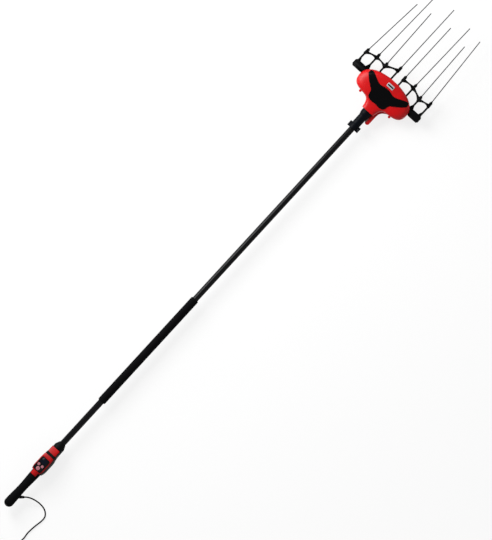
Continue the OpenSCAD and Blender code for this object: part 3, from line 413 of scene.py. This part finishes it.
def black_steel():
    # Black oxide on steel: dark grey with a dull sheen
    return drawn("Black oxide steel", colours().dark_steel, (0.35, 0.5), (1, 1, 1), 0.4 * MM,
        0.006 * MM, metallic=1.0)


def cast_frame():
    # Die-cast aluminium: pale grey, slightly pebbled
    return drawn("Die-cast aluminium", colours().cast, (0.42, 0.6), (1, 1, 1), 0.8 * MM, 0.03 * MM,
        metallic=1.0)


def sintered_bronze():
    # Sintered bronze: brown-gold with open pores
    return drawn("Sintered bronze", colours().bronze, (0.4, 0.55), (1, 1, 1), 0.4 * MM, 0.015 * MM,
        metallic=1.0)


def display():
    # Dark display behind polished acrylic: blue-black, with faint dark lines between its fields
    c = colours()
    material, tree, shader, place = start("Acrylic over a dark display", roughness=0.12, ior=1.49,
        specular_ior_level=0.06)
    fields = add(tree, "ShaderNodeTexBrick", {
        "Vector": place, "Color1": c.window, "Color2": darker(c.window, 1.25),
        "Mortar": darker(c.window, 0.6), "Scale": 1 / (18 * MM), "Mortar Size": 0.015})
    wave = add(tree, "ShaderNodeTexNoise", {"Vector": place, "Scale": 1 / (5 * MM)})
    skin = add(tree, "ShaderNodeBump", {"Height": wave.outputs["Fac"], "Distance": 0.002 * MM})
    connect(tree, shader, base_color=fields.outputs["Color"], normal=skin.outputs["Normal"])
    return material


def woven_strap():
    # Woven nylon hook-and-loop tape: crossing threads 1 mm apart, no gloss
    c = colours()
    material, tree, shader, place = start("Woven nylon tape", roughness=0.9, sheen_weight=0.2)
    threads = [
        add(tree, "ShaderNodeTexWave", {"Vector": place, "Scale": 1 / (6.3 * MM)},
            bands_direction=axis)
        for axis in ("Y", "Z")]
    weave = add(tree, "ShaderNodeMath", {
        0: threads[0].outputs["Fac"], 1: threads[1].outputs["Fac"]}, operation="MULTIPLY")
    base = add(tree, "ShaderNodeMix", {
        FACTOR: weave.outputs["Value"], TONE_A: c.strap, TONE_B: darker(c.strap, 2.0)},
        data_type="RGBA")
    skin = add(tree, "ShaderNodeBump", {"Height": weave.outputs["Value"], "Distance": 0.15 * MM})
    connect(tree, shader, base_color=base.outputs[MIXED], normal=skin.outputs["Normal"])
    return material


FINISHES = {maker.__name__: maker for maker in (
    red_moulding, shaded_handle_moulding, black_trim, black_moulding, neck_moulding, soft_rubber,
    button_rubber, circuit_mask, lead_jacket, foam, pole_coat, carbon_rod, bright_steel,
    black_steel, cast_frame, sintered_bronze, display, woven_strap)}
made = {}


def finish(name):
    """The finish of that name, made once."""
    if name not in made:
        made[name] = FINISHES[name]()
    return made[name]


def paint(piece, name):
    piece.data.materials.clear()
    piece.data.materials.append(finish(name))


# Modelling


def deselect():
    if bpy.context.object is not None and bpy.context.object.mode != "OBJECT":
        bpy.ops.object.mode_set(mode="OBJECT")
    bpy.ops.object.select_all(action="DESELECT")


def activate(piece):
    deselect()
    piece.select_set(True)
    bpy.context.view_layer.objects.active = piece


def settle(name):
    """Names the active object and moves its place into its mesh."""
    piece = bpy.context.object
    piece.name = name
    piece.data.name = name
    bpy.ops.object.transform_apply(location=True, rotation=True, scale=True)
    return piece


def apply_modifiers(piece):
    activate(piece)
    for modifier in list(piece.modifiers):
        bpy.ops.object.modifier_apply(modifier=modifier.name)


def smooth(piece, degrees=SHARP_DEGREES):
    activate(piece)
    bpy.ops.object.shade_smooth_by_angle(angle=math.radians(degrees))


def turned(name, profile, base, way, closed=True):
    """A round piece: a ring extruded along a direction, through pairs of distance and radius."""
    deselect()
    base, way = Vector(base), Vector(way).normalized()
    along, r = profile[0]
    bpy.ops.mesh.primitive_circle_add(
        vertices=sizes().ring_sides, radius=r, location=base + along * way,
        rotation=Vector((0, 0, 1)).rotation_difference(way).to_euler())
    piece = settle(name)
    bpy.ops.object.mode_set(mode="EDIT")
    bpy.ops.mesh.select_all(action="SELECT")
    for (from_y, from_r), (to_y, to_r) in zip(profile, profile[1:]):
        bpy.ops.mesh.extrude_region_move(TRANSFORM_OT_translate={"value": (to_y - from_y) * way})
        share = to_r / from_r
        bpy.ops.transform.resize(value=(share, share, share), center_override=base + to_y * way)
    if not closed:
        bpy.ops.mesh.select_all(action="DESELECT")
        bpy.ops.mesh.select_non_manifold()
        bpy.ops.mesh.fill_holes(sides=0)
    bpy.ops.mesh.select_all(action="SELECT")
    bpy.ops.mesh.remove_doubles(threshold=RING_WELD)
    bpy.ops.mesh.normals_make_consistent(inside=False)
    bpy.ops.object.mode_set(mode="OBJECT")
    return piece


def dress(names, material, edge):
    """Gives carried-over solids rounded edges, smooth shading and a finish."""
    for name in names:
        node = NODES[name]
        activate(node)
        bpy.ops.mesh.customdata_custom_splitnormals_clear()
        weld = node.modifiers.new("Weld", "WELD")
        weld.merge_threshold = SOLID_WELD
        if edge > 0:
            bevel = node.modifiers.new("Rounded edges", "BEVEL")
            bevel.width = edge
            bevel.segments = 3
            bevel.limit_method = "ANGLE"
            bevel.angle_limit = math.radians(SHARP_DEGREES)
        smooth(node)
        paint(node, material)


class HARVESTER_OT_stage(Operator):
    """Camera straight above, soft light from the tool's left, pale floor"""

    bl_idname = "harvester.stage"
    bl_label = "Stage"

    def execute(self, context):
        s = sizes()
        scene = context.scene
        scene.view_settings.view_transform = "Standard"
        middle = Vector((s.view_x, BUTT_Y + s.view_along, AXIS_Z))
        bpy.ops.object.camera_add(
            location=middle + Vector((0, 0, s.camera_height)), rotation=(0, 0, s.view_turn))
        camera = context.object
        camera.name = "Camera"
        camera.data.sensor_width = SENSOR_MM
        camera.data.lens = SENSOR_MM * s.camera_height / s.photo_height
        camera.data.clip_start = 0.1
        camera.data.clip_end = 3 * s.camera_height
        scene.camera = camera
        self.lamps(middle)
        self.world(scene)
        self.floor(middle)
        return {"FINISHED"}

    def lamps(self, middle):
        """A large soft lamp and a low one on the tool's left, weak ones right and in front."""
        for name, offset, size, watts in LAMPS:
            at = middle + Vector(offset)
            aim = (middle - at).to_track_quat("-Z", "Y").to_euler()
            bpy.ops.object.light_add(type="AREA", location=at, rotation=aim)
            lamp = bpy.context.object
            lamp.name = name
            lamp.data.size = size
            lamp.data.energy = watts

    def world(self, scene):
        """An even pale sky, white where it is seen."""
        world = bpy.data.worlds.new("Pale studio")
        world.use_nodes = True
        tree = world.node_tree
        back = tree.nodes["Background"]
        back.inputs["Color"].default_value = (1, 1, 1, 1)
        strength = add(tree, "ShaderNodeMapRange", {
            "Value": self.seen(tree), "To Min": SKY_LIGHT, "To Max": SKY_SEEN})
        tree.links.new(strength.outputs["Result"], back.inputs["Strength"])
        scene.world = world

    def seen(self, tree):
        """One for rays that show the surroundings: from the camera, off gloss or through glass."""
        path = add(tree, "ShaderNodeLightPath")
        total = path.outputs["Is Camera Ray"]
        for name in ("Is Glossy Ray", "Is Transmission Ray"):
            total = add(tree, "ShaderNodeMath", {0: total, 1: path.outputs[name]},
                operation="MAXIMUM").outputs["Value"]
        return total

    def floor(self, middle):
        """A pale floor that looks white and keeps a soft shadow."""
        deselect()
        bpy.ops.mesh.primitive_plane_add(size=FLOOR_SIZE, location=(middle.x, middle.y, FLOOR_Z))
        floor = settle("Floor")
        # Matt studio paper: part of what the camera sees is even white, the rest takes the shadow
        material, tree, shader, _ = start("Matt studio paper", roughness=0.9)
        shader.inputs["Base Color"].default_value = colours().floor
        glow = add(tree, "ShaderNodeEmission", {"Color": (1, 1, 1, 1)})
        share = add(tree, "ShaderNodeMath", {0: self.seen(tree), 1: FLOOR_WHITE},
            operation="MULTIPLY")
        mix = add(tree, "ShaderNodeMixShader", {
            0: share.outputs["Value"], 1: shader.outputs["BSDF"], 2: glow.outputs["Emission"]})
        tree.links.new(mix.outputs["Shader"], tree.nodes["Material Output"].inputs["Surface"])
        floor.data.materials.append(material)


def in_frame(point):
    """A point of the lead's route, in millimetres from the grip's end, in the frame's metres."""
    return Vector((point[0] * MM, BUTT_Y + point[1] * MM, point[2] * MM))


def gland_point(along):
    """A point on the gland's line, so many millimetres from its inner end."""
    base = Vector((GLAND_FROM[0] * MM, BUTT_Y + GLAND_FROM[1] * MM, AXIS_Z))
    return base + along * MM * GLAND_WAY


def rounded_route(points, steps):
    """A smooth line through points."""
    line = []
    for i in range(len(points) - 1):
        before, a = points[max(i - 1, 0)], points[i]
        b, after = points[i + 1], points[min(i + 2, len(points) - 1)]
        for k in range(steps):
            t = k / steps
            line.append(0.5 * (2 * a + (b - before) * t
                + (2 * before - 5 * a + 4 * b - after) * t * t
                + (3 * a - before - 3 * b + after) * t ** 3))
    line.append(points[-1])
    return line


def coil_point(turn):
    """A point of the coil, which spirals in on the floor, climbs and spirals out above."""
    r = COIL_MID_R + COIL_PITCH * (COIL_TURNS / 4 - min(turn, COIL_TURNS - turn))
    climb = min(max((turn - COIL_TURNS / 2 + COIL_CLIMB / 2) / COIL_CLIMB, 0), 1)
    z = COIL_LOW + COIL_PITCH * (1 - math.cos(math.pi * climb)) / 2
    angle = math.pi + 2 * math.pi * turn
    return in_frame((COIL_AT[0] + r * math.cos(angle), COIL_AT[1] + r * math.sin(angle), z))


def lead_line():
    """The lead's whole route, from inside the gland's mouth to the connector."""
    lead = sizes().lead_d / MM
    mouth = [gland_point(GLAND_LENGTH - lead), gland_point(GLAND_LENGTH + 1)]
    loose = rounded_route(mouth + [in_frame(p) for p in LEAD_POINTS], LEAD_STEPS)
    coil = [coil_point(k / COIL_SIDES) for k in range(1, COIL_TURNS * COIL_SIDES + 1)]
    tail = [coil[-1] + Vector((0, -COIL_TAIL * MM * k / TAIL_STEPS, 0))
        for k in range(1, TAIL_STEPS + 1)]
    return loose + coil + tail


def ribbed(first_r, last_r, reach, count, height):
    """The outline of a ribbed sleeve: round ribs between grooves, from one radius to another."""
    outline = []
    steps = 8
    for k in range(count * steps + 1):
        share = k / (count * steps)
        rise = height * math.sin(math.pi * k / steps) ** 2
        outline.append((reach * share, first_r + (last_r - first_r) * share + rise))
    return outline


class HARVESTER_OT_lead(Operator):
    """Supply lead with its tied coil, strap, strain relief and connector"""

    bl_idname = "harvester.lead"
    bl_label = "supply_lead"

    def execute(self, context):
        line = lead_line()
        lead = self.jacket(line)
        strap = self.strap()
        boot = self.connector_boot()
        relief = self.relief_rings()
        dress(["cord_plug"], "black_moulding", sizes().plug_edge)
        dress(["cable_gland"], "soft_rubber", sizes().gland_edge)
        return {"FINISHED"}

    def jacket(self, line):
        deselect()
        bpy.ops.curve.primitive_nurbs_path_add()
        lead = bpy.context.object
        lead.name = "supply_lead"
        curve = lead.data
        curve.splines.clear()
        spline = curve.splines.new("POLY")
        spline.points.add(len(line) - 1)
        for point, place in zip(spline.points, line):
            point.co = (*place, 1)
        lead.location = (0, 0, 0)
        curve.dimensions = "3D"
        curve.twist_mode = "Z_UP"
        curve.bevel_depth = sizes().lead_d / 2
        curve.bevel_resolution = 4
        curve.use_fill_caps = True
        spline.use_smooth = True
        curve.materials.append(finish("lead_jacket"))
        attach(lead, TOOL)
        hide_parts("power_cord", "cord_coil")
        return lead

    def strap(self):
        """A soft band round all the turns, made from its solid's box."""
        low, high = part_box("coil_tie")
        middle = (low + high) / 2
        size = high - low
        deselect()
        bpy.ops.mesh.primitive_cube_add(size=1, location=middle, scale=size)
        band = settle("coil_strap")
        bpy.ops.object.mode_set(mode="EDIT")
        bpy.ops.mesh.select_mode(type="FACE")
        bpy.ops.mesh.select_all(action="DESELECT")
        bpy.ops.object.mode_set(mode="OBJECT")
        for face in band.data.polygons:
            face.select = abs(face.normal.y) > 0.9
        bpy.ops.object.mode_set(mode="EDIT")
        bpy.ops.mesh.delete(type="FACE")
        bpy.ops.mesh.select_mode(type="VERT")
        bpy.ops.object.mode_set(mode="OBJECT")
        round_off = band.modifiers.new("Round", "BEVEL")
        round_off.width = STRAP_CORNER
        round_off.segments = 6
        round_off.limit_method = "ANGLE"
        thick = band.modifiers.new("Thick", "SOLIDIFY")
        thick.thickness = STRAP_THICKNESS
        thick.offset = -1
        edge = band.modifiers.new("Edge", "BEVEL")
        edge.width = STRAP_ROUNDING
        edge.segments = 2
        edge.limit_method = "ANGLE"
        apply_modifiers(band)
        smooth(band)
        paint(band, "woven_strap")
        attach(band, TOOL)
        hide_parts("coil_tie")
        return band

    def connector_boot(self):
        """A ribbed boot on the lead, behind the connector's body."""
        low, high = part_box("cord_plug")
        middle = (low + high) / 2
        reach, count, height, play, sunk = 13 * MM, 4, 0.6 * MM, 0.05 * MM, 0.5 * MM
        wide, narrow = 5.4 * MM, 3.8 * MM
        bore = sizes().lead_d / 2 + play
        profile = ribbed(wide, narrow, reach, count, height)
        profile += [(reach, bore), (0, bore), profile[0]]
        boot = turned("connector_boot", profile, (middle.x, high.y - sunk, middle.z), (0, 1, 0))
        smooth(boot)
        paint(boot, "soft_rubber")
        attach(boot, TOOL)
        return boot

    def relief_rings(self):
        """Ribs of the strain relief, which narrows to the lead."""
        first, last, count, height, play = 20 * MM, 37 * MM, 6, 0.7 * MM, 0.2 * MM
        wide, narrow = 6.0 * MM, 4.6 * MM
        bore = sizes().lead_d / 2 + play
        profile = ribbed(wide, narrow, last - first, count, height)
        profile += [(last - first, bore), (0, bore), profile[0]]
        relief = turned("strain_relief", profile, gland_point(first / MM), GLAND_WAY)
        smooth(relief)
        paint(relief, "soft_rubber")
        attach(relief, TOOL)
        return relief


class HARVESTER_OT_grips(Operator):
    """Rear grip and the long foam grip on the pole"""

    bl_idname = "harvester.grips"
    bl_label = "Soft grips"

    def execute(self, context):
        self.foam_grip()
        self.rear_grip()
        return {"FINISHED"}

    def foam_grip(self):
        """A foam sleeve with round ends."""
        low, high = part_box("mid_grip")
        r = (high.x - low.x) / 2
        soft, play, arc_steps = r - POLE_R, 0.1 * MM, 8
        bore = POLE_R + play
        turns = [math.pi / 2 * k / arc_steps for k in range(arc_steps + 1)]
        reach = high.y - low.y
        rear = [(soft * (1 - math.cos(a)), bore + (r - bore) * math.sin(a)) for a in turns]
        front = [(reach - y, radius) for y, radius in reversed(rear)]
        grip = turned("foam_grip", rear + front + [rear[0]], (0, low.y, AXIS_Z), (0, 1, 0))
        self.finish_grip(grip, "mid_grip")

    def rear_grip(self):
        """The hand grip: round end, waist for the hand, and a lip where it meets the housing."""
        low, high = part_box("rear_grip")
        reach = high.y - low.y
        butt, waist, front, core = 20 * MM, 17.5 * MM, 20.5 * MM, POLE_R
        tip, arc_steps, steps = 0.4 * MM, 12, 24
        profile = [(0, tip)]
        for k in range(1, arc_steps + 1):
            a = math.pi / 2 * k / arc_steps
            profile.append((butt * (1 - math.cos(a)), max(butt * math.sin(a), tip)))
        for k in range(1, steps + 1):
            share = k / steps
            bend = (1 - math.cos(2 * math.pi * share)) / 2
            profile.append((butt + (reach - butt) * share,
                butt + (front - butt) * share - bend * ((butt + front) / 2 - waist)))
        profile.append((reach, core))
        grip = turned("hand_grip", profile, (0, low.y, AXIS_Z), (0, 1, 0), closed=False)
        self.finish_grip(grip, "rear_grip")

    def finish_grip(self, grip, node):
        smooth(grip, GRIP_SHARP_DEGREES)
        paint(grip, "foam")
        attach(grip, TOOL)
        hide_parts(node)


def eased(points, x):
    """The height of a smooth curve through points, given in rising order, at x."""
    i = max(k for k in range(len(points) - 1) if points[k][0] <= max(x, points[0][0]))
    slopes = []
    for k in (i, i + 1):
        a, b = points[max(k - 1, 0)], points[min(k + 1, len(points) - 1)]
        slopes.append((b[1] - a[1]) / (b[0] - a[0]) if k > 0 else 0)
    (x0, y0), (x1, y1) = points[i], points[i + 1]
    run = x1 - x0
    s = min((x - x0) / run, 1)
    return ((1 + 2 * s) * (1 - s) ** 2 * y0 + s * (1 - s) ** 2 * run * slopes[0]
        + s * s * (3 - 2 * s) * y1 + s * s * (s - 1) * run * slopes[1])


class HARVESTER_OT_head(Operator):
    """Head casing, trim, web at the rear lug, bare plate, neck and clamp"""

    bl_idname = "harvester.head"
    bl_label = "Head"

    def execute(self, context):
        edge = sizes().moulded_edge
        dress(["head_upper_casing", "head_lower_casing"], "red_moulding", edge)
        self.trim()
        self.web()
        dress(["head_socket", "clamp_collar"], "neck_moulding", edge)
        dress(["casing_screws", "clamp_screw", "clamp_nut"], "black_steel", sizes().metal_edge)
        self.plate()
        return {"FINISHED"}

    def trim(self):
        """The trim, in place of its solid: a sheet between two edges, bent to the casing."""
        low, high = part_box("head_upper_casing")
        half, reach = (high.x - low.x) / 2, high.y - low.y
        deselect()
        bpy.ops.mesh.primitive_grid_add(x_subdivisions=TRIM_COLUMNS, y_subdivisions=TRIM_ROWS,
            size=2, location=(0, 0, high.z + DROP))
        trim = settle("top_trim")
        for point in trim.data.vertices:
            x = point.co.x
            across = TRIM_REAR[-1][0] * ((1 + TRIM_CROWDING) * x - TRIM_CROWDING * x ** 3)
            rear, front = (eased(edge, abs(across)) for edge in (TRIM_REAR, TRIM_FRONT))
            share = rear + (front - rear) * (point.co.y + 1) / 2
            point.co.x, point.co.y = across * half, low.y + share * reach
        self.lay_on_casing(trim, TRIM_PROUD)
        even = trim.modifiers.new("Even", "SMOOTH")
        even.use_x = even.use_y = False
        even.iterations = TRIM_EVENING
        self.thicken(trim, TRIM_THICKNESS, -1, TRIM_ROUNDING)
        paint(trim, "black_trim")
        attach(trim, TOOL)
        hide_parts("head_trim")

    def web(self):
        """The hollow-sided web that fills the corner between the rear lug and the casing."""
        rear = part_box("head_upper_casing")[0].y
        reach = WEB_OUTER[-1][0]
        deselect()
        bpy.ops.mesh.primitive_grid_add(x_subdivisions=WEB_COLUMNS, y_subdivisions=WEB_ROWS,
            size=2, location=(0, 0, AXIS_Z + WEB_LIFT))
        web = settle("rear_web")
        for point in web.data.vertices:
            along = reach * (point.co.y + 1) / 2
            inner, outer = (eased(side, along) for side in (WEB_INNER, WEB_OUTER))
            across = inner + (outer - inner) * (point.co.x + 1) / 2
            point.co.x, point.co.y = across * MM, rear + along * MM
        self.thicken(web, WEB_DEPTH, -1, WEB_ROUNDING)
        paint(web, "red_moulding")
        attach(web, TOOL)

    def lay_on_casing(self, sheet, gap):
        """Drops a sheet straight down on the casing, and holds it a gap above."""
        wrap = sheet.modifiers.new("On the casing", "SHRINKWRAP")
        wrap.target = NODES["head_upper_casing"]
        wrap.wrap_method = "PROJECT"
        wrap.use_project_z = True
        wrap.use_negative_direction = True
        wrap.use_positive_direction = False
        wrap.offset = gap

    def thicken(self, sheet, thickness, side, rounding):
        """Gives a sheet its thickness (side 1: outwards, -1: inwards) and a rounded rim."""
        thick = sheet.modifiers.new("Thick", "SOLIDIFY")
        thick.thickness = thickness
        thick.offset = side
        edge = sheet.modifiers.new("Edge", "BEVEL")
        edge.width = rounding
        edge.segments = 3
        edge.limit_method = "ANGLE"
        edge.angle_limit = RIM_ANGLE
        apply_modifiers(sheet)
        smooth(sheet)

    def plate(self):
        """A bare plate on the front of the casing, bent to it: a pale rim round a dark field."""
        width, depth = sizes().plate_width, sizes().plate_depth
        self.sheet("bare_plate", width, depth, PLATE_THICKNESS, "cast_frame", "aluminium")
        self.sheet("plate_field", FIELD_SHARES[0] * width, FIELD_SHARES[1] * depth, FIELD_THICKNESS,
            "black_trim", "black_gloss")

    def sheet(self, name, width, depth, thickness, material, slot):
        """A thin sheet with round corners, projected on the casing and thickened outwards."""
        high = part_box("head_upper_casing")[1]
        deselect()
        bpy.ops.mesh.primitive_plane_add(
            size=1, location=(0, BUTT_Y + sizes().plate_along, high.z + DROP))
        bpy.context.object.scale = (width, depth, 1)
        sheet = settle(name)
        bpy.ops.object.mode_set(mode="EDIT")
        bpy.ops.mesh.select_all(action="SELECT")
        bpy.ops.mesh.bevel(offset=PLATE_CORNER, segments=5, affect="VERTICES")
        bpy.ops.mesh.poke()
        bpy.ops.mesh.subdivide(number_cuts=3)
        bpy.ops.object.mode_set(mode="OBJECT")
        self.lay_on_casing(sheet, PLATE_GAP)
        self.thicken(sheet, thickness, 1, PLATE_ROUNDING)
        paint(sheet, material)
        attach(sheet, TOOL)


class HARVESTER_OT_handle(Operator):
    """Control handle, its panel, buttons and window"""

    bl_idname = "harvester.handle"
    bl_label = "Handle"

    def execute(self, context):
        s = sizes()
        dress(["handle_upper_shell"], "shaded_handle_moulding", s.cap_edge)
        dress(["handle_lower_shell", "front_ferrule", "control_panel"], "black_moulding",
            s.moulded_edge)
        dress(["seal_band", "button_pad"], "soft_rubber", s.seal_edge)
        dress(["display_window"], "display", s.metal_edge)
        dress(["power_button", "speed_up_button", "speed_down_button"], "button_rubber",
            s.button_edge)
        dress(["circuit_board"], "circuit_mask", 0)
        dress(["handle_screws"], "black_steel", s.metal_edge)
        dress(["pole_tube"], "pole_coat", s.metal_edge)
        dress(["inner_cable"], "lead_jacket", 0)
        return {"FINISHED"}


class HARVESTER_OT_rakes(Operator):
    """Rakes, tines and the drive inside the head"""

    bl_idname = "harvester.rakes"
    bl_label = "Rakes and drive"

    def execute(self, context):
        metal_edge = sizes().metal_edge
        for side in SIDES:
            dress([f"rake_{side}"], "black_moulding", 0)
            dress([f"tine_grommets_{side}"], "soft_rubber", sizes().grommet_edge)
            dress([f"tine_{side}_{i}" for i in range(1, 5)], "carbon_rod", 0)
            dress([f"yoke_{side}"], "bright_steel", metal_edge)
            dress([f"rake_bushes_{side}"], "sintered_bronze", metal_edge)
        dress(["gear_frame"], "cast_frame", metal_edge)
        dress(["rake_axle", "crank_bearings", "crankshaft", "crank_rollers"], "bright_steel",
            metal_edge)
        dress(["crank_gear", "motor_pinion"], "bright_steel", 0)
        dress(["drive_motor", "motor_screws"], "black_steel", metal_edge)
        return {"FINISHED"}


class HARVESTER_PT_pieces(Panel):
    """Lists the pieces of the harvester"""

    bl_idname = "HARVESTER_PT_pieces"
    bl_label = "Olive harvester"
    bl_space_type = "VIEW_3D"
    bl_region_type = "UI"
    bl_category = "Harvester"

    def draw(self, context):
        for operator in OPERATORS:
            self.layout.operator(operator.bl_idname)
        for group in (context.scene.harvester_sizes, context.scene.harvester_colours):
            box = self.layout.box()
            for key in group.__annotations__:
                box.prop(group, key)


OPERATORS = (
    HARVESTER_OT_stage, HARVESTER_OT_lead, HARVESTER_OT_grips, HARVESTER_OT_head,
    HARVESTER_OT_handle, HARVESTER_OT_rakes)
CLASSES = (HarvesterSizes, HarvesterColours, *OPERATORS, HARVESTER_PT_pieces)


def register():
    for cls in CLASSES:
        bpy.utils.register_class(cls)
    bpy.types.Scene.harvester_sizes = PointerProperty(type=HarvesterSizes)
    bpy.types.Scene.harvester_colours = PointerProperty(type=HarvesterColours)


def unregister():
    del bpy.types.Scene.harvester_colours
    del bpy.types.Scene.harvester_sizes
    for cls in reversed(CLASSES):
        bpy.utils.unregister_class(cls)


def main():
    register()
    bpy.ops.harvester.stage()
    bpy.ops.harvester.lead()
    bpy.ops.harvester.grips()
    bpy.ops.harvester.head()
    bpy.ops.harvester.handle()
    bpy.ops.harvester.rakes()


if __name__ == "__main__":
    main()
